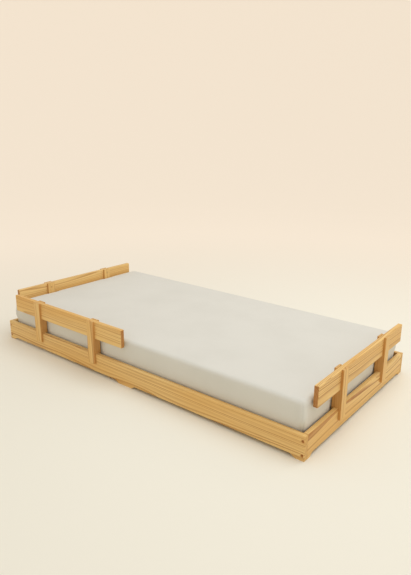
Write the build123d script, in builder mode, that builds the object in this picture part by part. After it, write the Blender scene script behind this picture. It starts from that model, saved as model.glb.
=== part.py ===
"""Toddler floor bed: a low pine frame on slats, three lift-off guards and a mattress in a fitted sheet.

Units are millimetres. X runs along the bed from the head (-X) to the foot (+X), Y runs from the near
side (-Y) to the far side (+Y), and Z is up from the floor. The origin is on the floor, in the middle
of the whole bed's footprint.
"""

import os
from math import atan2, degrees

from build123d import *

# ---------------------------------------------------------------- driving dimensions
# frame
frame_length = 1450.0  # outside of the two end rails
frame_width = 756.0  # outside of the two side rails
rail_height = 80.0
rail_thickness = 16.0
rail_round = 2.5  # rounding of the rails' long top edges
end_round = 1.5  # rounding of the side rails' cut ends
# feet, which are what is left between shallow cut-outs in the rails' undersides
cutout_height = 10.0
foot_flat = 30.0  # measured from the frame's outer corner
middle_foot_flat = 68.0
foot_slope = 15.0  # run of the sloping shoulder beside each foot
shoulder_round = 14.0  # radius that eases both ends of a shoulder
# corner joints: two bolts with barrel nuts at each corner
bolt_levels = (16.0, 62.0)
bolt_diameter = 6.0
bolt_head_diameter = 9.6
bolt_head_height = 4.0
bolt_head_recess = 3.0  # how deep the top of the head lies below the rail's face
bolt_grip = 47.0  # under the head
hex_socket = 4.0  # across flats
nut_diameter = 10.0
nut_length = 12.0
nut_setback = 30.0  # from the end rail's end to the nut's axis
# slats and the ledger strips that carry them
slat_count = 13
slat_width = 60.0
slat_thickness = 15.0
slat_top = 48.0
slat_round = 2.0
ledger_size = 20.0
ledger_screw_steps = (-5.5, -3.5, -1.5, 1.5, 3.5, 5.5)  # in slat pitches from the middle
# guards: a board above the rail, held by two fork posts that straddle the rail
board_length = 650.0
board_height = 68.0
board_thickness = 16.0
board_round = 3.0
guard_top = 208.0
post_width = 35.0
post_inset = 142.0  # from the board's end to the post's outer edge
leg_thickness = 8.0
outer_leg_bottom = 42.0
inner_leg_bottom = 50.0
post_round = 1.5
side_guard_shift = -336.0  # the side guard stands on the head half of the near rail
head_guard_shift = -3.0  # across the bed, from the frame's centre line
foot_guard_shift = 7.0
# mattress and its fitted sheet
mattress_length = 1400.0  # outside of the sheet
mattress_width = 700.0
mattress_height = 120.0
mattress_corner = 16.0  # radius of the upright corners
mattress_edge = 12.0  # radius of the top and bottom edges
mattress_side_gap = 9.0  # from the near rail's inner face
sheet_thickness = 1.0
sheet_hem = 110.0  # how far the sheet wraps under the mattress
# screws
screw_head_diameter = 7.6
screw_head_height = 2.4
screw_diameter = 4.0
guard_screw_length = 20.0
ledger_screw_length = 30.0
slat_screw_length = 26.0
screw_recess_width = 0.9
screw_recess_depth = 1.6
guard_screw_drop = 18.0  # from the guard's top to its screws
# clearances
slide_gap = 0.4  # between each side of the rail and a fork post
fit_gap = 0.3  # between the mattress and its sheet
hole_gap = 0.15  # around a screw, a bolt head or a nut
bolt_gap = 0.3  # around a bolt's shank

# ---------------------------------------------------------------- derived places
frame_y = (leg_thickness + slide_gap) / 2  # centres the footprint with outer legs on one side only
near_y = frame_y - frame_width / 2
far_y = frame_y + frame_width / 2
head_x = -frame_length / 2
foot_x = frame_length / 2
inner_length = frame_length - 2 * rail_thickness
inner_width = frame_width - 2 * rail_thickness
slat_pitch = (inner_length - slat_count * slat_width) / (slat_count + 1) + slat_width
ledger_top = slat_top - slat_thickness
ledger_level = ledger_top - ledger_size / 2
shoulder_angle = degrees(atan2(cutout_height, foot_slope))
board_bottom = guard_top - board_height
rail_slot = rail_thickness + 2 * slide_gap
post_depth = rail_slot + 2 * leg_thickness
post_offset = board_length / 2 - post_inset - post_width / 2
bolt_reach = bolt_grip - (rail_thickness - bolt_head_height - bolt_head_recess)
mattress_y = near_y + rail_thickness + mattress_side_gap + mattress_width / 2

up = Vector(0, 0, 1)
standing = (Align.CENTER, Align.CENTER, Align.MIN)
on_floor = (Align.CENTER, Align.MIN)

os.makedirs("parts", exist_ok=True)


def save(piece, name):
    """Labels a finished piece and writes it."""
    piece.part.label = name
    export_step(piece.part, f"parts/{name}.step")


# ---------------------------------------------------------------- rails
def cut_feet(outline, cutouts):
    """Takes shallow cut-outs with eased shoulders from a rail's underside: (centre, width) of each."""
    for centre, width in cutouts:
        with Locations((centre, 0)):
            Trapezoid(width, cutout_height, shoulder_angle, align=on_floor, mode=Mode.SUBTRACT)
    bottom, ceiling = outline.vertices().group_by(Axis.Y)[:2]
    fillet(bottom.sort_by(Axis.X)[1:-1] + ceiling, radius=shoulder_round)


def make_side_rail(name, outer_y, outward):
    """A long side rail with three feet and two recessed bolt holes near each end."""
    inner_y = outer_y - outward * rail_thickness
    cut_outer = frame_length / 2 - foot_flat
    cut_inner = middle_foot_flat / 2
    cut_centre = (cut_outer + cut_inner) / 2
    with BuildPart() as rail:
        with BuildSketch(Plane.XZ.offset(-max(outer_y, inner_y))) as outline:
            Rectangle(frame_length, rail_height, align=on_floor)
            cut_feet(outline, [(side * cut_centre, cut_outer - cut_inner) for side in (-1, 1)])
        extrude(amount=rail_thickness)
        fillet(rail.edges().filter_by(Axis.X).group_by(Axis.Z)[-1], radius=rail_round)
        fillet(rail.faces().filter_by(Axis.X).sort_by(Axis.X)[-1].edges(), radius=end_round)
        fillet(rail.faces().filter_by(Axis.X).sort_by(Axis.X)[0].edges(), radius=end_round)
        bolt_x = frame_length / 2 - rail_thickness / 2
        drilled = Plane((0, outer_y, 0), x_dir=(1, 0, 0), z_dir=(0, outward, 0))
        places = [(side * bolt_x, -outward * level) for side in (-1, 1) for level in bolt_levels]
        with Locations(drilled):
            with Locations(*places):
                CounterBoreHole(
                    radius=bolt_diameter / 2 + bolt_gap,
                    counter_bore_radius=bolt_head_diameter / 2 + hole_gap,
                    counter_bore_depth=bolt_head_height + bolt_head_recess,
                )
        screw_holes(ledger_screw_planes(outward), ledger_screw_length)
    save(rail, name)


def make_end_rail(name, outer_x, outward):
    """A short end rail between the side rails, bored for the corner bolts and their barrel nuts."""
    inner_x = outer_x - outward * rail_thickness
    middle_x = outer_x - outward * rail_thickness / 2
    with BuildPart() as rail:
        with BuildSketch(Plane.YZ.offset(min(outer_x, inner_x))) as outline:
            with Locations((frame_y, 0)):
                Rectangle(inner_width, rail_height, align=on_floor)
            cut_feet(outline, [(frame_y, frame_width - 2 * foot_flat)])
        extrude(amount=rail_thickness)
        fillet(rail.edges().filter_by(Axis.Y).group_by(Axis.Z)[-1], radius=rail_round)
        for side in (-1, 1):
            end_y = frame_y + side * inner_width / 2
            for level in bolt_levels:
                with Locations(Plane((middle_x, end_y, level), x_dir=(1, 0, 0), z_dir=(0, side, 0))):
                    Hole(radius=bolt_diameter / 2 + bolt_gap, depth=bolt_reach + 1)
                nut_y = end_y - side * nut_setback
                with Locations(Plane((inner_x, nut_y, level), x_dir=(0, 1, 0), z_dir=(-outward, 0, 0))):
                    nut_depth = (rail_thickness + nut_length) / 2 + hole_gap
                    Hole(radius=nut_diameter / 2 + hole_gap, depth=nut_depth)
    save(rail, name)


# ---------------------------------------------------------------- corner fasteners
def corner_places():
    """Yields the side (-1 near, 1 far), the end (-1 head, 1 foot) and the level of each corner bolt."""
    for side in (-1, 1):
        for end in (-1, 1):
            for level in bolt_levels:
                yield side, end, level


def make_corner_bolts(name):
    """Hexagon socket bolts that go through the side rails into the end rails, as separate solids."""
    with BuildPart() as bolts:
        for side, end, level in corner_places():
            outer_y = frame_y + side * frame_width / 2
            bolt_x = end * (frame_length - rail_thickness) / 2
            face = Plane((bolt_x, outer_y, level), x_dir=(1, 0, 0), z_dir=(0, -side, 0))
            with Locations(face.offset(bolt_head_recess)):
                Cylinder(bolt_head_diameter / 2, bolt_head_height, align=standing)
                Cylinder(bolt_diameter / 2, bolt_head_height + bolt_grip, align=standing)
            with BuildSketch(face.offset(bolt_head_recess)):
                RegularPolygon(hex_socket / 2, 6, major_radius=False)
            extrude(amount=bolt_head_height / 2, mode=Mode.SUBTRACT)
    save(bolts, name)


def make_barrel_nuts(name):
    """Cross dowels in the end rails, each with the bolt's hole across it, as separate solids."""
    with BuildPart() as nuts:
        for side, end, level in corner_places():
            nut_x = end * (frame_length - rail_thickness) / 2
            nut_y = frame_y + side * (inner_width / 2 - nut_setback)
            with Locations(Plane((nut_x, nut_y, level), x_dir=(0, 1, 0), z_dir=(1, 0, 0))):
                Cylinder(nut_diameter / 2, nut_length)
            with Locations(Plane((nut_x, nut_y, level), x_dir=(1, 0, 0), z_dir=(0, 1, 0))):
                Cylinder(bolt_diameter / 2 + hole_gap, 2 * nut_diameter, mode=Mode.SUBTRACT)
    save(nuts, name)


# ---------------------------------------------------------------- wood screws
def screw_body(planes, length, gap, mode):
    """Countersunk screws, each with its head flush with a plane and its shank along the plane's normal."""
    with Locations(*planes):
        Cone(
            screw_head_diameter / 2 + gap,
            screw_diameter / 2 + gap,
            screw_head_height + gap,
            align=standing,
            mode=mode,
        )
        Cylinder(screw_diameter / 2 + gap, length + gap, align=standing, mode=mode)


def screw_holes(planes, length):
    """Takes the room for screws, with a little clearance, from the piece that is being made."""
    screw_body(planes, length, hole_gap, Mode.SUBTRACT)


def make_screws(name, planes, length):
    """A group of countersunk screws with cross recesses, as separate solids."""
    with BuildPart() as screws:
        screw_body(planes, length, 0, Mode.ADD)
        with Locations(*planes):
            arm = screw_head_diameter * 0.6
            Box(arm, screw_recess_width, screw_recess_depth, align=standing, mode=Mode.SUBTRACT)
            Box(screw_recess_width, arm, screw_recess_depth, align=standing, mode=Mode.SUBTRACT)
    save(screws, name)


# ---------------------------------------------------------------- slats and ledgers
def slat_centres():
    """The slats' X positions, evenly spaced between the end rails."""
    return [(number - (slat_count - 1) / 2) * slat_pitch for number in range(slat_count)]


def ledger_y(outward):
    """The middle of the ledger strip on the near (-1) or far (1) side."""
    return frame_y + outward * (inner_width - ledger_size) / 2


def ledger_screw_planes(outward):
    """Where the screws of one ledger enter its inner face, pointing into the side rail."""
    face_y = frame_y + outward * (inner_width / 2 - ledger_size)
    return [
        Plane((step * slat_pitch, face_y, ledger_level), x_dir=(1, 0, 0), z_dir=(0, outward, 0))
        for step in ledger_screw_steps
    ]


def slat_screw_planes(outward):
    """Where the screws on one side enter the slats' top faces, pointing down into the ledger."""
    return [
        Plane((centre, ledger_y(outward), slat_top), x_dir=(1, 0, 0), z_dir=(0, 0, -1))
        for centre in slat_centres()
    ]


def make_ledger(name, outward):
    """A square strip screwed to the inside of a side rail, for the slats to lie on."""
    with BuildPart() as ledger:
        with BuildSketch(Plane.XY.offset(ledger_top - ledger_size)):
            with Locations((0, ledger_y(outward))):
                Rectangle(inner_length, ledger_size)
        extrude(amount=ledger_size)
        screw_holes(ledger_screw_planes(outward), ledger_screw_length)
        screw_holes(slat_screw_planes(outward), slat_screw_length)
    save(ledger, name)


def make_slat(name, centre):
    """One slat across the bed, screwed down at both ends."""
    with BuildPart() as slat:
        with BuildSketch(Plane.XY.offset(ledger_top)):
            with Locations((centre, frame_y)):
                Rectangle(slat_width, inner_width - 2 * fit_gap)
        extrude(amount=slat_thickness)
        fillet(slat.edges().filter_by(Axis.Y), radius=slat_round)
        for outward in (-1, 1):
            plane = Plane((centre, ledger_y(outward), slat_top), x_dir=(1, 0, 0), z_dir=(0, 0, -1))
            screw_holes([plane], slat_screw_length)
    save(slat, name)


# ---------------------------------------------------------------- guards
def guard_plane(middle, outward):
    """A guard's own plane: x points away from the bed, y up, and the normal runs along the guard."""
    return Plane(middle, x_dir=outward, z_dir=outward.cross(up))


def guard_screw_planes(plane):
    """Where a guard's screws enter its posts' inner legs, pointing outwards into the board."""
    level = guard_top - guard_screw_drop
    places = []
    for side in (-1, 1):
        post = plane.offset(side * post_offset)
        entry = post.from_local_coords(Vector(-post_depth / 2, level, 0))
        places.append(Plane(entry, x_dir=plane.z_dir, z_dir=plane.x_dir))
    return places


def make_board(name, plane):
    """A guard's board, with all its edges rounded."""
    with BuildPart() as board:
        with BuildSketch(plane):
            with Locations((0, board_bottom)):
                Rectangle(board_thickness, board_height, align=on_floor)
        extrude(amount=board_length / 2, both=True)
        fillet(board.edges(), radius=board_round)
        screw_holes(guard_screw_planes(plane), guard_screw_length)
    save(board, name)


def make_post(name, plane, side):
    """A fork post: its lower slot straddles the rail and its upper slot holds the board."""
    with BuildPart() as post:
        with BuildSketch(plane.offset(side * post_offset)):
            with Locations((0, outer_leg_bottom)):
                Rectangle(post_depth, guard_top - outer_leg_bottom, align=on_floor)
                Rectangle(rail_slot, rail_height - outer_leg_bottom, align=on_floor, mode=Mode.SUBTRACT)
            with Locations((0, board_bottom)):
                Rectangle(board_thickness, board_height, align=on_floor, mode=Mode.SUBTRACT)
            with Locations((-(rail_slot + leg_thickness) / 2, outer_leg_bottom)):
                shortening = inner_leg_bottom - outer_leg_bottom
                Rectangle(leg_thickness, shortening, align=on_floor, mode=Mode.SUBTRACT)
        extrude(amount=post_width / 2, both=True)
        across = Axis((0, 0, 0), plane.x_dir)
        faces = post.faces().filter_by(across).sort_by(across)
        fillet(faces[0].edges() + faces[-1].edges(), radius=post_round)
        screw_holes(guard_screw_planes(plane), guard_screw_length)
    save(post, name)


def make_guard(name, middle, outward, post_names):
    """A whole lift-off guard: its board, two fork posts and their screws."""
    plane = guard_plane(middle, outward)
    make_board(f"{name}_board", plane)
    for side, post_name in zip((-1, 1), post_names):
        make_post(f"{name}_{post_name}_post", plane, side)
    make_screws(f"{name}_screws", guard_screw_planes(plane), guard_screw_length)


# ---------------------------------------------------------------- mattress and sheet
def cushion(inset):
    """The mattress's outer shape, drawn in by an inset on every side."""
    height = mattress_height - 2 * inset
    with BuildPart() as block:
        with BuildSketch(Plane.XY.offset(slat_top + inset)):
            with Locations((0, mattress_y)):
                RectangleRounded(
                    mattress_length - 2 * inset, mattress_width - 2 * inset, mattress_corner - inset
                )
        extrude(amount=height)
        fillet(block.faces().sort_by(Axis.Z)[-1].edges(), radius=mattress_edge - inset)
        fillet(block.faces().sort_by(Axis.Z)[0].edges(), radius=mattress_edge - inset)
    return block


def make_mattress(name):
    """The mattress block inside the sheet."""
    save(cushion(sheet_thickness + fit_gap), name)


def make_fitted_sheet(name):
    """The fitted sheet: a thin skin over the top and sides that turns under the mattress's edges."""
    outside = cushion(0)
    inside = cushion(sheet_thickness)
    with BuildPart() as sheet:
        add(outside.part)
        add(inside.part, mode=Mode.SUBTRACT)
        with BuildSketch(Plane.XY.offset(slat_top)):
            with Locations((0, mattress_y)):
                RectangleRounded(
                    mattress_length - 2 * sheet_hem, mattress_width - 2 * sheet_hem, mattress_corner
                )
        extrude(amount=2 * sheet_thickness, mode=Mode.SUBTRACT)
    save(sheet, name)


# ---------------------------------------------------------------- the whole bed
make_side_rail("near_side_rail", near_y, -1)
make_side_rail("far_side_rail", far_y, 1)
make_end_rail("head_end_rail", head_x, -1)
make_end_rail("foot_end_rail", foot_x, 1)
make_corner_bolts("corner_bolts")
make_barrel_nuts("barrel_nuts")

make_ledger("near_ledger", -1)
make_ledger("far_ledger", 1)
make_screws("ledger_screws", ledger_screw_planes(-1) + ledger_screw_planes(1), ledger_screw_length)
for number, centre in enumerate(slat_centres(), start=1):
    make_slat(f"slat_{number:02d}", centre)
make_screws("slat_screws", slat_screw_planes(-1) + slat_screw_planes(1), slat_screw_length)

rail_middle = rail_thickness / 2
make_guard(
    "side_guard",
    Vector(side_guard_shift, near_y + rail_middle, 0),
    Vector(0, -1, 0),
    ("foot_end", "head_end"),
)
make_guard(
    "head_guard",
    Vector(head_x + rail_middle, frame_y + head_guard_shift, 0),
    Vector(-1, 0, 0),
    ("near", "far"),
)
make_guard(
    "foot_guard",
    Vector(foot_x - rail_middle, frame_y + foot_guard_shift, 0),
    Vector(1, 0, 0),
    ("far", "near"),
)

make_mattress("mattress")
make_fitted_sheet("fitted_sheet")
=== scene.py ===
# %% [markdown]
# # A low pine bed for a toddler
#
# This lesson dresses a finished design. The bed's frame, its slats, its three lift-off guards and all
# its screws come from the design model, at their true size and place. Here they get their wood and
# metal, the mattress gets its padded shape and its fitted sheet, and the whole bed stands in a pale
# studio. All lengths are metres: X runs from the head to the foot, Y from the near side to the far
# side, and Z up from the floor.

import math

import bmesh
import bpy
import numpy as np
from mathutils import Euler, Matrix, Vector, noise


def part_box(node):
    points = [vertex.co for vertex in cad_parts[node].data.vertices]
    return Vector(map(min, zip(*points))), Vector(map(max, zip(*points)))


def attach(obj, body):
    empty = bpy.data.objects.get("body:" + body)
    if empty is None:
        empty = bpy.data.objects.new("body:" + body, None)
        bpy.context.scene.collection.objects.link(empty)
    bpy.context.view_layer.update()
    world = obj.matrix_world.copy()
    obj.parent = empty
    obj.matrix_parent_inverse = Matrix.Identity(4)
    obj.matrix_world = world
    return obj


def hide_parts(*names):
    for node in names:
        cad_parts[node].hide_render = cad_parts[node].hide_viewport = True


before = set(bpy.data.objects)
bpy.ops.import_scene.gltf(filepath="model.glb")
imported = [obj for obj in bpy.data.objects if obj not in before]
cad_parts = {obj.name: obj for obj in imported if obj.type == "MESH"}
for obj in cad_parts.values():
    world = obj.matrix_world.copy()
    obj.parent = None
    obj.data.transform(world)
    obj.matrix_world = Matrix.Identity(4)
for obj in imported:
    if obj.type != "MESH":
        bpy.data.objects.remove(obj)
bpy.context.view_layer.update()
millimetre = 0.001

# %% [markdown]
# ## The camera
#
# A low bed is best seen from about the height of a child's chin, off the foot corner, so that the top
# of the mattress, one long side and one end all show. The camera is turned round the upright axis
# first, then tipped down, then rolled by about half a degree, as a camera held in the hand is. A 34 mm
# lens on 36 mm film takes in the whole bed from a little over two metres away with little stretching.

# %% Place the camera
camera_turn = math.radians(38.71)
camera_tip = math.radians(16.44)
camera_roll = math.radians(0.52)
camera_place = Vector((1.319, -1.561, 0.8875))

lens_length = 33.64
film_width = 36.0

film = bpy.data.cameras.new("studio_camera")
film.lens = lens_length
film.sensor_width = film_width
camera = bpy.data.objects.new("studio_camera", film)
bpy.context.scene.collection.objects.link(camera)
aim = Euler((math.pi / 2 - camera_tip, 0, camera_turn)).to_matrix()
aim = aim @ Matrix.Rotation(camera_roll, 3, "Z")
camera.matrix_world = Matrix.Translation(camera_place) @ aim.to_4x4()
bpy.context.scene.camera = camera
bpy.context.scene.view_settings.view_transform = "Standard"
print("camera looks along", [round(x, 3) for x in -aim.col[2]])

# %% [markdown]
# ## Sums that make shaders
#
# A procedural material is a page of small sums: scale this, add that, take a share of the result.
# Placing each sum by hand as a node is slow to write and slower to read, so one small class stands
# for a node's output and takes + - * / and ** like a number.


# %% A socket that can be added and multiplied
class Wire:
    """The output of a node, which ordinary sums can use."""

    def __init__(self, finish, output):
        self.finish = finish
        self.output = output

    def __add__(self, other):
        return self.finish.calculate("ADD", self, other)

    def __radd__(self, other):
        return self.finish.calculate("ADD", other, self)

    def __sub__(self, other):
        return self.finish.calculate("SUBTRACT", self, other)

    def __rsub__(self, other):
        return self.finish.calculate("SUBTRACT", other, self)

    def __mul__(self, other):
        return self.finish.calculate("MULTIPLY", self, other)

    def __rmul__(self, other):
        return self.finish.calculate("MULTIPLY", other, self)

    def __truediv__(self, other):
        return self.finish.calculate("DIVIDE", self, other)

    def __rtruediv__(self, other):
        return self.finish.calculate("DIVIDE", other, self)

    def __pow__(self, other):
        return self.finish.calculate("POWER", self, other)


print("a wire adds, takes away, multiplies, divides and raises to a power")

# %% [markdown]
# ## A material that grows
#
# Wood, steel and cloth all start from the same shader, which Blender calls Principled, and differ only
# in what feeds its sockets. A second class holds one material. One of its methods makes a node of any
# type: the node's settings come first, because they decide which sockets it has, and then the values
# or wires of its sockets. The others are short names for the nodes that the bed uses most.


# %% A material that grows one node at a time
class Finish:
    """A new material with a Principled shader, ready for more nodes."""

    def __init__(self, name):
        self.material = bpy.data.materials.new(name)
        self.material.use_nodes = True
        tree = self.material.node_tree
        self.nodes = tree.nodes
        self.links = tree.links
        self.shader = next(n for n in self.nodes if n.type == "BSDF_PRINCIPLED")

    def connect(self, socket, value):
        """Gives a socket a wire, or else a constant."""
        if isinstance(value, Wire):
            self.links.new(value.output, socket)
        else:
            socket.default_value = value

    def node(self, kind, settings=None, sockets=None, output=0):
        """Adds a node: its settings first, then the values or wires of its sockets."""
        made = self.nodes.new(kind)
        for name, value in (settings or {}).items():
            setattr(made, name, value)
        for name, value in (sockets or {}).items():
            self.connect(made.inputs[name], value)
        return Wire(self, made.outputs[output])

    def calculate(self, operation, *values):
        """Any sum on one or two values."""
        return self.node("ShaderNodeMath", {"operation": operation}, dict(enumerate(values)))

    def surface(self, sockets):
        """Feeds the shader's own sockets and gives the finished material."""
        for name, value in sockets.items():
            self.connect(self.shader.inputs[name], value)
        return self.material

    def mix(self, share, first, second):
        """A colour between two colours."""
        colours = {0: share, 6: first, 7: second}
        return self.node("ShaderNodeMix", {"data_type": "RGBA"}, colours, output=2)

    def place(self):
        """The point being shaded, as three wires in metres."""
        point = self.node("ShaderNodeTexCoord", output=3)
        split = self.node("ShaderNodeSeparateXYZ", None, {0: point})
        outputs = split.output.node.outputs
        return [Wire(self, outputs[axis]) for axis in range(3)]

    def vector(self, x, y, z):
        """Three wires or numbers as one point."""
        return self.node("ShaderNodeCombineXYZ", None, {0: x, 1: y, 2: z})

    def clouds(self, vector, scale, detail=2.0, roughness=0.5):
        """Soft random patches from 0 to 1."""
        sockets = {"Vector": vector, "Scale": scale, "Detail": detail, "Roughness": roughness}
        return self.node("ShaderNodeTexNoise", None, sockets)

    def step(self, value, low, high):
        """0 below low, 1 above high, and a smooth rise between them."""
        sockets = {"Value": value, "From Min": low, "From Max": high}
        return self.node("ShaderNodeMapRange", {"interpolation_type": "SMOOTHSTEP"}, sockets)

    def bump(self, height, distance, strength):
        """Tilts the surface as if it rose by the height, at most by the distance."""
        sockets = {"Height": height, "Distance": distance, "Strength": strength}
        return self.node("ShaderNodeBump", None, sockets)


print("the class has", len([name for name in vars(Finish) if name[0] != "_"]), "methods")

# %% [markdown]
# ## Colours
#
# A colour chart gives red, green and blue from 0 to 255, spaced evenly to the eye. A shader adds up
# light instead, so each value is turned into the share of light it stands for.


# %% Colours from a chart
def paint(red, green, blue):
    """A colour chart's 0 to 255 values as the linear colour that a shader takes."""

    def linear(value):
        share = value / 255
        return share / 12.92 if share <= 0.04045 else ((share + 0.055) / 1.055) ** 2.4

    return (linear(red), linear(green), linear(blue), 1.0)


print("cream is", [round(x, 3) for x in paint(238, 235, 228)])

# %% [markdown]
# ## Pine
#
# A board is a slice of a trunk, and its pattern is the trunk's. Each year the tree adds a pale, soft
# ring of early wood that ends in a thin, dark line of late wood. If the material works out how far a
# point is from the trunk's heart and draws the rings there, then the long lines, the pointed arches
# on the faces and the arcs on the sawn ends all agree at every edge, which a pattern laid on each face
# by itself never does. Five colours are enough: the two woods of a ring, the honey tone that lacquer
# and daylight give in patches, the darker tone of sawn ends, and a painted shade for narrow faces
# that sit in shadow.

# %% Mix the pine
early_wood = paint(234, 200, 133)
late_wood = paint(170, 112, 50)
honey_wood = paint(223, 174, 94)
# painted shade: the dark tone that the posts' narrow side faces are mixed towards, for the shadow they
# sit in against the boards
painted_shade_wood = paint(184, 120, 56)
sawn_end = paint(160, 98, 46)
print("honey pine is", [round(x, 3) for x in honey_wood])

# %% [markdown]
# ## The rings of a trunk
#
# The heart runs beside the board, leans a little, and wanders as a real trunk's does. The rings are
# circles round it. A saw that cuts at exact steps would give lines as even as a ruler's, so the ring's
# width drifts, and a random vigour makes some years' late wood strong and other years' faint.

# %% Grow the rings
wander_width = 0.010
drift_width = 0.016
uneven_width = 0.013
faintest_year = 0.15


def beside_the_heart(finish, along, across, through, heart, lean, seed):
    """How far a point of the board lies from the trunk's heart, to the side and in depth."""
    slow = finish.vector(along * 2.2 + seed, across * 9.0, through * 9.0)
    wander = finish.clouds(slow, 1.0, detail=1.5)
    slower = finish.vector(along * 1.3, across * 3.0 + seed, through)
    drift = finish.clouds(slower, 1.6, detail=1.0)
    side = across - heart[0] * millimetre + along * lean + (wander - 0.5) * wander_width
    depth = through - heart[1] * millimetre + (drift - 0.5) * drift_width
    return side, depth


def late_lines(finish, side, depth, ring_width, seed):
    """The late wood, from 0 in the pale part of a ring to 1 at its dark end."""
    radius = (side * side + depth * depth) ** 0.5
    uneven = finish.clouds(finish.vector(radius * 90, seed, 0.0), 1.0, detail=0.0)
    rings = (radius + (uneven - 0.5) * uneven_width) / (ring_width * millimetre)
    phase = finish.calculate("FRACT", rings)
    year = finish.calculate("FLOOR", rings)
    vigour = finish.node("ShaderNodeTexWhiteNoise", {"noise_dimensions": "1D"}, {"W": year + seed})
    line = finish.step(phase, 0.30, 0.93) * (1 - finish.step(phase, 0.95, 1.0))
    return line * (vigour * (1 - faintest_year) + faintest_year)


print("a ring is shifted by up to", round(uneven_width / millimetre / 2, 1), "mm each way")

# %% [markdown]
# ## A lacquered board
#
# Fine fibres, long streaks and a slow drift towards honey go over the rings, and a thin satin lacquer
# over all of it. The sawn ends drink more lacquer, so they are darker and duller. They are found by
# their distance from the board's middle, which works for every board because each gets a material
# that knows its two corners.


# %% Saw a board from the trunk
def near_face(finish, value, reach):
    """1 on the two faces that lie at a distance from the middle, and 0 between them."""
    distance = finish.calculate("ABSOLUTE", value)
    return finish.step(distance, reach - 1.2 * millimetre, reach - 0.2 * millimetre)


def pine(name, low, high, heart, ring_width, lean, tone, contrast=1.05, edges=0.0, sawn=0.7):
    """Pine for a board between two corners, with the grain along its longest side.

    heart is where the trunk's middle lies, in millimetres across and through the board. tone is how
    honey the board is, contrast how dark its rings are, sawn how dark its ends are, and edges how
    strongly a painted shade darkens its narrow faces, for the shadow they sit in beside the boards."""
    finish = Finish(name)
    size = high - low
    middle = (low + high) / 2
    order = sorted(range(3), key=lambda axis: -size[axis])
    place = finish.place()
    along, across, through = [place[axis] - middle[axis] for axis in order]
    seed = sum(map(ord, name)) % 97
    side, depth = beside_the_heart(finish, along, across, through, heart, lean, seed)
    late = late_lines(finish, side, depth, ring_width, seed)

    fibre_place = finish.vector(along * 14, across * 1500 + seed, through * 1500)
    fibre = finish.clouds(fibre_place, 1.0, detail=2.0, roughness=0.6)
    streak_place = finish.vector(along * 2.4, side * 120, depth * 120 + seed)
    streak = finish.clouds(streak_place, 1.0, detail=2.0, roughness=0.55)
    patches = finish.clouds(finish.vector(along * 2.0, across * 12, seed), 1.0, detail=2.0)

    dark = late * contrast + (streak - 0.42) * 0.75 + (fibre - 0.5) * 0.30
    colour = finish.mix(dark, early_wood, late_wood)
    honey = finish.step(patches, 0.35, 0.75) * (0.25 + 0.6 * tone)
    colour = finish.mix(honey, colour, honey_wood)
    # painted shade: the narrow faces are darkened by edges, standing in for the shadow beside the boards
    narrow = near_face(finish, across, size[order[1]] / 2)
    colour = finish.mix(narrow * edges, colour, painted_shade_wood)
    ends = near_face(finish, along, size[order[0]] / 2)
    colour = finish.mix(ends * sawn, colour, sawn_end)

    relief = late * 0.5 + fibre * 0.5
    return finish.surface({
        "Base Color": colour,
        "Roughness": 0.46 + fibre * 0.10 - late * 0.08 + ends * 0.22,
        "Normal": finish.bump(relief, 0.00022, 0.55),
        "Coat Weight": 0.06,
        "Coat Roughness": 0.35,
        "Specular IOR Level": 0.28,
    })


def dress(node, material):
    """Puts one material on a whole CAD node."""
    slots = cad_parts[node].data.materials
    slots.clear()
    slots.append(material)


def saw(node, heart, **look):
    """Dresses one board in pine of its own, cut beside the given heart."""
    low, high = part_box(node)
    dress(node, pine(f"pine_{node}", low, high, heart, **look))


print("early wood is", [round(x, 3) for x in early_wood])

# %% [markdown]
# ## Give every board its own slice
#
# The rails and guard boards are flat-sawn, with the heart 40 to 60 mm from the board, so long arches
# show on them. A CAD node keeps its mesh and only gets a new material in its slot. The rails show
# almost no dark end, because the side rails' ends are planed and lacquered with their faces.

# %% Dress the rails and guard boards
# Each board's heart across and through it, then its rings' width in millimetres, lean and honey tone.
board_hearts = {
    "near_side_rail": ((-34, 50), 4.0, 0.008, 0.30),
    "far_side_rail": ((38, -60), 3.7, -0.005, 0.55),
    "head_end_rail": ((30, 58), 3.8, 0.02, 0.5),
    "foot_end_rail": ((33, -58), 3.7, -0.012, 0.5),
    "side_guard_board": ((-30, 52), 3.6, 0.012, 0.85),
    "head_guard_board": ((34, 56), 3.6, -0.012, 0.9),
    "foot_guard_board": ((-24, -38), 3.9, 0.022, 0.55),
}
for node, (heart, ring_width, lean, tone) in board_hearts.items():
    sawn = 0.15 if node.endswith("rail") else 0.75
    saw(node, heart, ring_width=ring_width, lean=lean, tone=tone, sawn=sawn)
print("boards", len(board_hearts))

# %% [markdown]
# ## Posts, slats and ledgers
#
# The fork posts are short and stand upright, with a slightly slanting grain. Their narrow faces get a
# painted shade for the shadow they sit in beside the boards they hold, which makes them stand out
# from those boards. The slats and the ledgers under them are never seen in use, so they are of
# cheaper, paler pine with faint rings. Each heart is worked out from the piece's number, so that
# neighbours differ.

# %% Dress the posts, slats and ledgers
posts = sorted(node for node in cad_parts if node.endswith("_post"))
for number, node in enumerate(posts):
    heart = (60 - 22 * (number % 3), 48 + 9 * (number % 4))
    # edges=0.55 paints shade onto the posts' narrow side faces
    saw(node, heart, ring_width=3.8, lean=0.05, tone=0.7, contrast=0.8, edges=0.55, sawn=0.3)

slats = sorted(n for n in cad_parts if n.startswith("slat_") and n[-1].isdigit())
for number, node in enumerate(slats):
    heart = (30 - 17 * (number % 4), -55 + 21 * (number % 5))
    saw(node, heart, ring_width=4.0, lean=0.01, tone=0.1, contrast=0.5)
for node in ("near_ledger", "far_ledger"):
    saw(node, (35, 35), ring_width=3.6, lean=0.01, tone=0.2, contrast=0.5)
print("posts", len(posts), "slats", len(slats))

# %% [markdown]
# ## Steel
#
# The corner bolts are bronzed steel and sit deep in their holes, the screws are yellow zinc and the
# barrel nuts are bright zinc. All three are plain metals with fine turning marks and a little
# staining, which is enough at their size.


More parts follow.
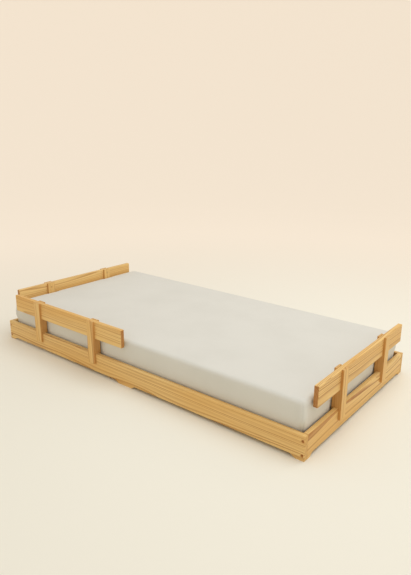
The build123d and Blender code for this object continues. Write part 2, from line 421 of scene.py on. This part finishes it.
# %% Mix the metals
def steel(name, colour, stain, roughness):
    """A small machined metal part, faintly stained."""
    finish = Finish(name)
    x, y, z = finish.place()
    blotch = finish.clouds(finish.vector(x, y, z), 260.0, detail=3.0)
    marks = finish.clouds(finish.vector(x * 300, y * 300, z * 2600), 1.0, detail=1.0)
    return finish.surface({
        "Base Color": finish.mix(finish.step(blotch, 0.45, 0.8) * 0.7, colour, stain),
        "Roughness": roughness + (blotch - 0.5) * 0.25,
        "Normal": finish.bump(marks, 0.00005, 0.5),
        "Metallic": 1.0,
    })


bolt_metal = steel("bronzed_bolt_steel", paint(226, 178, 122), paint(150, 104, 62), 0.55)
screw_metal = steel("yellow_zinc_screw", paint(216, 180, 122), paint(150, 116, 72), 0.5)
nut_metal = steel("bright_zinc_nut", paint(176, 178, 180), paint(120, 120, 122), 0.34)
dress("corner_bolts", bolt_metal)
dress("barrel_nuts", nut_metal)
screw_nodes = [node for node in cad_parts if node.endswith("_screws")]
for node in screw_nodes:
    dress(node, screw_metal)
print("screw groups", screw_nodes)

# %% [markdown]
# ## Cotton and ticking
#
# The fitted sheet is smooth cotton percale, a plain weave of fine threads. The pattern follows the
# cloth's own unwrapped surface, so that the threads turn over the edge with the cloth. Stretched cotton
# looks matte with a soft glow at grazing angles, which is the shader's sheen. The mattress cover under
# it is ticking quilted in diamonds, which is where two sets of slanting stitch lines cross.

# %% Weave the cloths
thread = 0.0007
quilt_pitch = 0.09
stitch_width = 0.006


def weave(finish, u, v):
    """The height of a plain weave: warp and weft pass over and under each other."""
    turn = math.pi / thread
    warp = finish.calculate("SINE", u * turn)
    weft = finish.calculate("SINE", v * turn)
    return warp * weft * 0.5 + 0.5


def cloth_uv(finish):
    """The cloth's own surface coordinates, in metres."""
    unwrapped = finish.node("ShaderNodeUVMap", {"uv_map": "cloth"})
    split = finish.node("ShaderNodeSeparateXYZ", None, {0: unwrapped}).output.node.outputs
    return Wire(finish, split[0]), Wire(finish, split[1])


def percale(name, colour, shade):
    """Smooth sheet cotton with a fine weave and a faint unevenness in its yarn."""
    finish = Finish(name)
    u, v = cloth_uv(finish)
    yarn = finish.clouds(finish.vector(u * 60, v * 900, 0.0), 1.0, detail=1.0)
    pick = finish.clouds(finish.vector(u * 900, v * 60, 4.0), 1.0, detail=1.0)
    patches = finish.clouds(finish.vector(u, v, 2.0), 6.0, detail=3.0)
    slubs = (yarn + pick) * 0.5
    tint = (slubs - 0.5) * 0.5 + finish.step(patches, 0.3, 0.8) * 0.35
    return finish.surface({
        "Base Color": finish.mix(tint, colour, shade),
        "Roughness": 0.86 + (slubs - 0.5) * 0.1,
        "Normal": finish.bump(weave(finish, u, v) * 0.6 + slubs * 0.4, 0.0002, 0.35),
        "Sheen Weight": 0.42,
        "Sheen Roughness": 0.5,
        "Specular IOR Level": 0.25,
    })


def ticking(name, thread_colour, cover_colour):
    """Mattress ticking, quilted in diamonds with a stitched line."""
    finish = Finish(name)
    x, y, _ = finish.place()
    lines = []
    for slope in (x + y, x - y):
        from_stitch = finish.calculate("PINGPONG", slope, quilt_pitch / 2)
        lines.append(finish.step(from_stitch, 0.0, stitch_width))
    quilt = lines[0] * lines[1]
    ribs = finish.calculate("SINE", x * 4200)
    return finish.surface({
        "Base Color": finish.mix(quilt, thread_colour, cover_colour),
        "Roughness": 0.9,
        "Normal": finish.bump(quilt + ribs * 0.02, 0.0025, 0.8),
        "Sheen Weight": 0.2,
    })


sheet_cotton = percale("warm_grey_percale", paint(214, 215, 209), paint(201, 202, 195))
mattress_ticking = ticking("quilted_ticking", paint(206, 200, 190), paint(238, 235, 228))
print("threads per centimetre", round(0.01 / thread))

# %% [markdown]
# ## The mattress
#
# A foam mattress is a slab with soft edges: its top is crowned by about a millimetre, its sides bow out
# between top and bottom, and its upright corners are rounded and stand out furthest. It could be
# sculpted or inflated, but it is so regular that a formula is quicker and truer to size. A cube is cut
# into a grid whose lines crowd towards the edges, and each grid point is then moved onto the soft slab.
# Working from one formula lets the sheet wrap the very same slab a few millimetres further out.

# %% Take the slab's measures from the design
sheet_low, sheet_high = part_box("fitted_sheet")
sheet_middle = np.array(((sheet_low + sheet_high) / 2).to_tuple())
sheet_half = np.array(((sheet_high - sheet_low) / 2).to_tuple())
corner_radius = 0.016
edge_radius = 0.013
side_bulge = 0.0070
corner_bulge = 0.0070
bulge_depth = 0.10
crown = 0.0012
crowding = 0.46
slab_grid = (120, 64, 14)
print("the sheet measures", [round(2 * x, 3) for x in sheet_half])

# %% [markdown]
# ## Where the guards press the mattress
#
# The sides can't bow out everywhere: the inner leg of each guard post stands against them. So the
# bulge is let out in full only away from the legs, and the foam dips back to its true side at each.
# The dip is as wide as a leg with a millimetre of room on either side, and fades out beyond that. A
# simulation would press the same dips, but would need to be run again at each change.

# %% Find the legs that press the foam
leg_reach = 0.0185
press_fade = 0.022
one_side = 0.25
leg_places = []
for node in posts:
    post_low, post_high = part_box(node)
    leg_places.append(((post_low + post_high) / 2, node.startswith("side")))


def squeezed(plan):
    """How far the foam bulges, from 1 where it is free to 0 where a guard's inner leg presses it."""
    free = np.ones(len(plan))
    for middle, on_long_side in leg_places:
        run = 0 if on_long_side else 1
        away = np.abs(plan[:, run] + sheet_middle[run] - middle[run]) - leg_reach
        guard_side = -1 if on_long_side else math.copysign(1, middle[0])
        beside_guard = plan[:, 1 - run] * guard_side > one_side
        pressed = 1 - np.clip(away / press_fade, 0, 1)
        ease = pressed * pressed * (3 - 2 * pressed)
        free = np.where(beside_guard, np.minimum(free, 1 - ease), free)
    return free


print("legs against the mattress", len(leg_places))

# %% [markdown]
# ## From a cube to a soft slab
#
# Rounding has three steps. In plan, the points near each upright corner go onto a quarter disc. Then
# the points near the long edges go onto a quarter round between side and top. Last, the sides bow
# out. Each point keeps the direction that leads out of the slab, which the sheet needs later for its
# pleats and seams.


# %% Move a grid point onto the slab
def squared_to_round(u, v):
    """Moves points of a unit square's corner onto a quarter disc."""
    return u * np.sqrt(1 - v * v / 2), v * np.sqrt(1 - u * u / 2)


def with_round_corners(plan, half):
    """Rounds the outline's four upright corners.

    Gives the moved points, the way out of the slab at each, and how deep in the slab each lies."""
    sign = np.sign(plan)
    flat = np.abs(plan)
    straight = half - corner_radius
    corner = np.clip((flat - straight) / corner_radius, 0, 1)
    round_u, round_v = squared_to_round(corner[:, 0], corner[:, 1])
    flat = np.minimum(flat, straight) + np.stack([round_u, round_v], axis=1) * corner_radius

    past = np.maximum(flat - straight, 0)
    length = np.linalg.norm(past, axis=1)
    nearest = np.where(flat[:, 0] - half[0] > flat[:, 1] - half[1], 0, 1)
    outward = np.zeros_like(flat)
    outward[np.arange(len(flat)), nearest] = 1
    rounded = length > 1e-9
    outward[rounded] = past[rounded] / length[rounded, None]
    depth = np.where(rounded, corner_radius - length, np.min(half - flat, axis=1))
    return flat * sign, outward * sign, depth


def cornering(outward):
    """0 on the straight sides and 1 in the middle of an upright corner."""
    return 2 * np.abs(outward[:, 0] * outward[:, 1])


def bulge(plan, outward, rise):
    """How far the side bows out, for a rise from -1 at the bottom to 1 at the top."""
    by_height = 1 - 0.3 * rise**4 - 0.3 * np.clip(-rise - 0.2, 0, 1)
    above_rails = np.clip((rise + 0.42) / 0.45, 0, 1)
    below_top = 1 - 0.9 * np.clip((rise - 0.25) / 0.6, 0, 1)
    at_corner = corner_bulge * cornering(outward) * above_rails * below_top
    return side_bulge * by_height * squeezed(plan) + at_corner


def onto_slab(points, inset):
    """Takes points of a cube from -1 to 1 to the soft slab, inset from the sheet's outside.

    Also gives each point's way out of the slab in plan, and its depth inside the slab's outline."""
    half = sheet_half - inset
    placed = (points * (1 + crowding) - crowding * points**3) * half
    plan, outward, depth = with_round_corners(placed[:, :2], half[:2])

    height = np.abs(placed[:, 2])
    share_in = np.clip(1 - depth / edge_radius, 0, 1)
    share_up = np.clip(1 - (half[2] - height) / edge_radius, 0, 1)
    round_in, round_up = squared_to_round(share_in, share_up)
    plan += outward * ((round_in - share_in) * edge_radius)[:, None]
    level = (height + (round_up - share_up) * edge_radius) * np.sign(placed[:, 2])

    near_side = np.clip(1 - depth / bulge_depth, 0, 1) ** 2
    plan += outward * (bulge(plan, outward, level / half[2]) * near_side)[:, None]
    return np.column_stack([plan, level]), outward, depth


def crowned(points):
    """Lowers the top towards its edges by the crown."""
    falloff = np.clip(1 - (points[:, :2] / sheet_half[:2]) ** 4, 0, 1)
    dome = falloff[:, 0] * falloff[:, 1]
    on_top = points[:, 2] > sheet_half[2] * 0.8
    lowered = points.copy()
    lowered[:, 2] -= crown * (1 - dome) * on_top
    return lowered


print("edges rounded to", round(edge_radius / millimetre), "mm")

# %% [markdown]
# ## Tools for shaping a piece
#
# Blender's operators act on whatever is selected, so each of these first lets go of everything and
# then picks its own piece. The cube is cut in edit mode: the edges along one axis are selected by
# their direction and subdivided together, one axis after another.


# %% Pick, cut, move and smooth
def pick(piece):
    """Makes this the one selected and active piece."""
    bpy.ops.object.select_all(action="DESELECT")
    piece.select_set(True)
    bpy.context.view_layer.objects.active = piece


def gridded_cube(name, segments):
    """A cube from -1 to 1 whose edges along X, Y and Z are cut into that many segments."""
    bpy.ops.object.select_all(action="DESELECT")
    bpy.ops.mesh.primitive_cube_add(size=2)
    cube = bpy.context.object
    cube.name = name
    cube.data.name = name
    bpy.ops.object.mode_set(mode="EDIT")
    bpy.ops.mesh.select_mode(type="EDGE")
    for axis, count in enumerate(segments):
        mesh = bmesh.from_edit_mesh(cube.data)
        for edge in mesh.edges:
            run = edge.verts[1].co - edge.verts[0].co
            edge.select = abs(run[axis]) > 0.99 * run.length
        mesh.select_flush_mode()
        bmesh.update_edit_mesh(cube.data)
        bpy.ops.mesh.subdivide(number_cuts=count - 1)
    bpy.ops.object.mode_set(mode="OBJECT")
    return cube


def points_of(piece):
    """The piece's points, a row of three for each."""
    flat = np.zeros(len(piece.data.vertices) * 3)
    piece.data.vertices.foreach_get("co", flat)
    return flat.reshape(-1, 3)


def move_points(piece, points):
    """Puts the piece's points in new places."""
    piece.data.vertices.foreach_set("co", points.ravel())
    piece.data.update()


def thicken(piece, thickness, offset):
    """Gives a skin its thickness: offset -1 adds it inside, and 0 on both sides alike."""
    pick(piece)
    wall = piece.modifiers.new("thickness", "SOLIDIFY")
    wall.thickness = thickness
    wall.offset = offset
    bpy.ops.object.modifier_apply(modifier=wall.name)


def smooth(piece):
    """Shades the piece without facets."""
    pick(piece)
    bpy.ops.object.shade_smooth()


def unwrap(piece):
    """Lays the piece's surface out in metres, each face seen along its nearest axis."""
    pick(piece)
    bpy.ops.object.mode_set(mode="EDIT")
    bpy.ops.mesh.select_all(action="SELECT")
    bpy.ops.uv.cube_project(cube_size=1.0, scale_to_bounds=False, correct_aspect=False)
    bpy.ops.object.mode_set(mode="OBJECT")
    piece.data.uv_layers.active.name = "cloth"


print("the slab's grid has", slab_grid, "segments")

# %% [markdown]
# ## Fill the cover
#
# The mattress lies a few millimetres inside its sheet all round, so that cloth and ticking never
# show through each other. It has the same grid as the sheet, which keeps that gap even at the corners.

# %% Shape the mattress
mattress_inset = np.array((0.0056, 0.0056, 0.0031))
mattress = gridded_cube("mattress_pad", slab_grid)
shaped, _, _ = onto_slab(points_of(mattress), mattress_inset)
move_points(mattress, crowned(shaped) + sheet_middle)
smooth(mattress)
mattress.data.materials.append(mattress_ticking)
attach(mattress, "mattress")
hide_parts("mattress")
print("mattress faces", len(mattress.data.polygons))

# %% [markdown]
# ## The fitted sheet
#
# A fitted sheet is cut with its corners sewn into boxes and elastic in its hem, and it is pulled over
# the mattress and tucked below. It is one thin skin: top, four sides, and a hem that turns under. It
# is flat where it is pulled tight, a little slack on the long sides, and near each corner small pleats
# run up from the gathered hem. Each upright corner has a sewn seam. The skin starts as the same
# gridded cube, whose four upright edges fall just where the seams are, and gets its slack, pleats and
# seams by moving points a millimetre or so out or in. Every fold is then as deep as was asked for, where
# a cloth simulation would have to be coaxed to it.

# %% Pull the sheet over the slab
sheet_thickness = 0.0008
pleat_height = 0.0011
pleat_waves = 22
slack_height = 0.0007
slack_size = 0.16
seam_height = 0.0009


def unevenness(point, size):
    """A smooth random value from about -1 to 1 that changes over the given size."""
    return noise.noise(Vector(point) / size)


sheet = gridded_cube("sheet_cloth", slab_grid)
cube_points = points_of(sheet)
pulled, outward, depth = onto_slab(cube_points, sheet_thickness)
pulled = crowned(pulled)

level = pulled[:, 2] / sheet_half[2]
on_side = np.clip(1 - depth / 0.02, 0, 1)
round_corner = np.arctan2(outward[:, 1], outward[:, 0])
pleats = pleat_height * cornering(outward) * np.cos(round_corner * pleat_waves)
pleats *= np.clip(0.55 - level, 0, 1.2) * on_side
loose = [unevenness((x, y * 1.7, z * 2.5), slack_size) for x, y, z in pulled]
slack = np.array(loose) * slack_height
taken_in = (slack - pleat_height - slack_height) * on_side
pulled[:, :2] += outward * (pleats + taken_in)[:, None]
seams = np.all(np.abs(cube_points[:, :2]) > 0.999, axis=1) & (np.abs(level) < 0.86)
pulled[:, :2] += outward * (seam_height * seams)[:, None]
top = (level > 0.9) & (depth > 0.03)
pulled[:, 2] -= np.where(top, (slack_height - slack) * 0.6, 0)
move_points(sheet, pulled + sheet_middle)
print("seam points", int(seams.sum()))

# %% [markdown]
# ## Open the underside
#
# Under the mattress the sheet is only a hem as wide as a hand. The faces of the middle are picked by
# their place and by their normal, which points down, and deleted. Then the skin gets its thickness on
# the inside, so that its outside keeps the true size.

# %% Leave a hem and give the cloth its thickness
hem = 0.110


def inside_hem(face):
    """Whether a face lies in the opening of the underside."""
    from_middle = face.calc_center_median() - Vector(sheet_middle)
    in_length = abs(from_middle.x) < sheet_half[0] - hem
    in_width = abs(from_middle.y) < sheet_half[1] - hem
    return face.normal.z < -0.9 and in_length and in_width


pick(sheet)
bpy.ops.object.mode_set(mode="EDIT")
bpy.ops.mesh.select_mode(type="FACE")
mesh = bmesh.from_edit_mesh(sheet.data)
for face in mesh.faces:
    face.select_set(inside_hem(face))
bmesh.update_edit_mesh(sheet.data)
bpy.ops.mesh.delete(type="FACE")
bpy.ops.object.mode_set(mode="OBJECT")

thicken(sheet, sheet_thickness, offset=-1.0)
unwrap(sheet)
smooth(sheet)
sheet.data.materials.append(sheet_cotton)
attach(sheet, "mattress")
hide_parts("fitted_sheet")
print("sheet faces", len(sheet.data.polygons))

# %% [markdown]
# ## The elastic in the hem
#
# Under the mattress the hem ends in a casing with elastic in it, which draws the cloth into small even
# gathers. A circle is extruded inwards into a band and pushed out to the hem's rounded rectangle,
# then given a thickness, and rippled up and down by half a millimetre. The rounded rectangle is a
# superellipse, which needs one power instead of four arcs.

# %% Run the elastic round the hem
casing_width = 0.012
casing_thickness = 0.0022
casing_height = 0.0024
casing_overlap = 0.006
gather_length = 0.030
gather_height = 0.0005
ring_points = 720
band_rows = 3
row_shrink = 0.9
squareness = 9.0

bpy.ops.object.select_all(action="DESELECT")
bpy.ops.mesh.primitive_circle_add(vertices=ring_points, radius=1.0)
casing = bpy.context.object
casing.name = "hem_elastic"
bpy.ops.object.mode_set(mode="EDIT")
bpy.ops.mesh.select_all(action="SELECT")
for _ in range(band_rows):
    bpy.ops.mesh.extrude_edges_move()
    bpy.ops.transform.resize(value=(row_shrink, row_shrink, row_shrink))
bpy.ops.object.mode_set(mode="OBJECT")

ring = points_of(casing)
turn = np.arctan2(ring[:, 1], ring[:, 0])
row = np.round(np.log(np.hypot(ring[:, 0], ring[:, 1])) / math.log(row_shrink))
inward = row * casing_width / band_rows
casing_half = sheet_half[:2] - hem + casing_overlap
powers = np.abs(np.cos(turn)) ** squareness + np.abs(np.sin(turn)) ** squareness
reach = powers ** (-1 / squareness)
place_x = np.cos(turn) * reach * (casing_half[0] - inward)
place_y = np.sin(turn) * reach * (casing_half[1] - inward)
run = np.where(np.abs(np.cos(turn)) * reach > 0.999, place_y, place_x)
gathers = gather_height * np.sin(run / gather_length * 2 * math.pi)
casing_level = sheet_low.z + casing_height + gathers
move_points(casing, np.column_stack([place_x, place_y + sheet_middle[1], casing_level]))
thicken(casing, casing_thickness, offset=0.0)
unwrap(casing)
smooth(casing)
casing.data.materials.append(sheet_cotton)
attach(casing, "mattress")
print("elastic faces", len(casing.data.polygons))

# %% [markdown]
# ## The cut of the sheet
#
# Before it is sewn, the sheet is one flat rectangle: the top, and on every side the drop down the
# mattress and the hem below it. A square as wide as that drop and hem is cut out of each corner, and
# the two edges of each cut are sewn together to make the seam.

# %% Record the flat cloth
drop = 2 * sheet_half[2] + hem
flat_size = (2 * sheet_half[1] + 2 * drop, 2 * sheet_half[0] + 2 * drop)
cut_area = flat_size[0] * flat_size[1] - 4 * drop * drop
print("flat", [round(x, 3) for x in flat_size], "m")

# %% [markdown]
# ## The studio
#
# The bed stands on a seamless cream backdrop. A flat floor alone would show a horizon, so the stage
# is a wide bowl: a flat disc whose rim curves up all round and goes on as a wall, so that it looks the
# same from every side. A studio wall has lamps of its own that keep it as pale as the floor. Here the
# wall gives off a little cream light instead, which fades out towards the bed.

# %% Spread the backdrop
floor_radius = 4.0
floor_sides = 96
bend_radius = 3.0
bend_steps = 16
wall_height = 6.0
bpy.ops.object.select_all(action="DESELECT")
bpy.ops.mesh.primitive_circle_add(vertices=floor_sides, radius=floor_radius, fill_type="NGON")
backdrop = bpy.context.object
backdrop.name = "backdrop"
bpy.ops.object.mode_set(mode="EDIT")
bpy.ops.mesh.select_mode(type="EDGE")
bpy.ops.mesh.select_all(action="SELECT")
rings = []
for step in range(1, bend_steps + 1):
    turn = math.pi / 2 * step / bend_steps
    rings.append((floor_radius + bend_radius * math.sin(turn), bend_radius * (1 - math.cos(turn))))
rings.append((floor_radius + bend_radius, wall_height))
reached, risen = floor_radius, 0.0
for radius, rise in rings:
    bpy.ops.mesh.extrude_edges_move(TRANSFORM_OT_translate={"value": (0, 0, rise - risen)})
    bpy.ops.transform.resize(value=(radius / reached, radius / reached, 1))
    reached, risen = radius, rise
bpy.ops.object.mode_set(mode="OBJECT")
smooth(backdrop)
print("backdrop is", round(2 * reached, 1), "m across")

# %% [markdown]
# ## Cream paint
#
# The paint is palest in a round patch about the bed's near corner at the foot, and gets darker with
# distance, where the wall's own light takes over. A fine grain keeps it from looking like plastic.

# %% Paint the backdrop
patch_middle = (0.6, -0.4)
patch_radius = 0.7
wall_distance = 3.5

cream = Finish("cream_backdrop")
x, y, z = cream.place()
from_x = x - patch_middle[0]
from_y = y - patch_middle[1]
distance = (from_x * from_x + from_y * from_y) ** 0.5
far_share = cream.step(distance, patch_radius, wall_distance)
grain = cream.clouds(cream.vector(x, y, z), 900.0, detail=1.0)
shade = cream.mix(far_share, paint(238, 237, 226), paint(150, 142, 131))
cream.surface({
    "Base Color": cream.mix((grain - 0.5) * 0.05, shade, paint(205, 196, 180)),
    "Roughness": 0.9,
    "Specular IOR Level": 0.1,
    "Emission Color": cream.mix(far_share, paint(0, 0, 0), paint(240, 227, 209)),
    "Emission Strength": 0.76,
})
backdrop.data.materials.append(cream.material)
print("painted", cream.material.name)

# %% [markdown]
# ## The light
#
# The shadows are short and soft: much of the light comes from everywhere, and one wide lamp overhead,
# a little towards the foot and the far side, makes the top the brightest. The near long side turns
# away from it and is a shade darker. A smaller lamp would throw sharp shadows of the guards.


# %% Hang the lamp
lamp_place = Vector((0.9, 0.4, 3.0))
lamp_width = 2.6
lamp_power = 49
air_strength = 0.51

softbox = bpy.data.lights.new("overhead_softbox", "AREA")
softbox.shape = "SQUARE"
softbox.size = lamp_width
softbox.energy = lamp_power
lamp = bpy.data.objects.new("overhead_softbox", softbox)
bpy.context.scene.collection.objects.link(lamp)
lamp.location = lamp_place
lamp.rotation_mode = "QUATERNION"
lamp.rotation_quaternion = (-lamp_place).to_track_quat("-Z", "Y")

world = bpy.data.worlds.new("studio_air")
bpy.context.scene.world = world
world.use_nodes = True
air = next(node for node in world.node_tree.nodes if node.type == "BACKGROUND")
air.inputs["Color"].default_value = (1.0, 0.99, 0.97, 1.0)
air.inputs["Strength"].default_value = air_strength
print("lamp of", lamp_power, "watts and air at", air_strength)
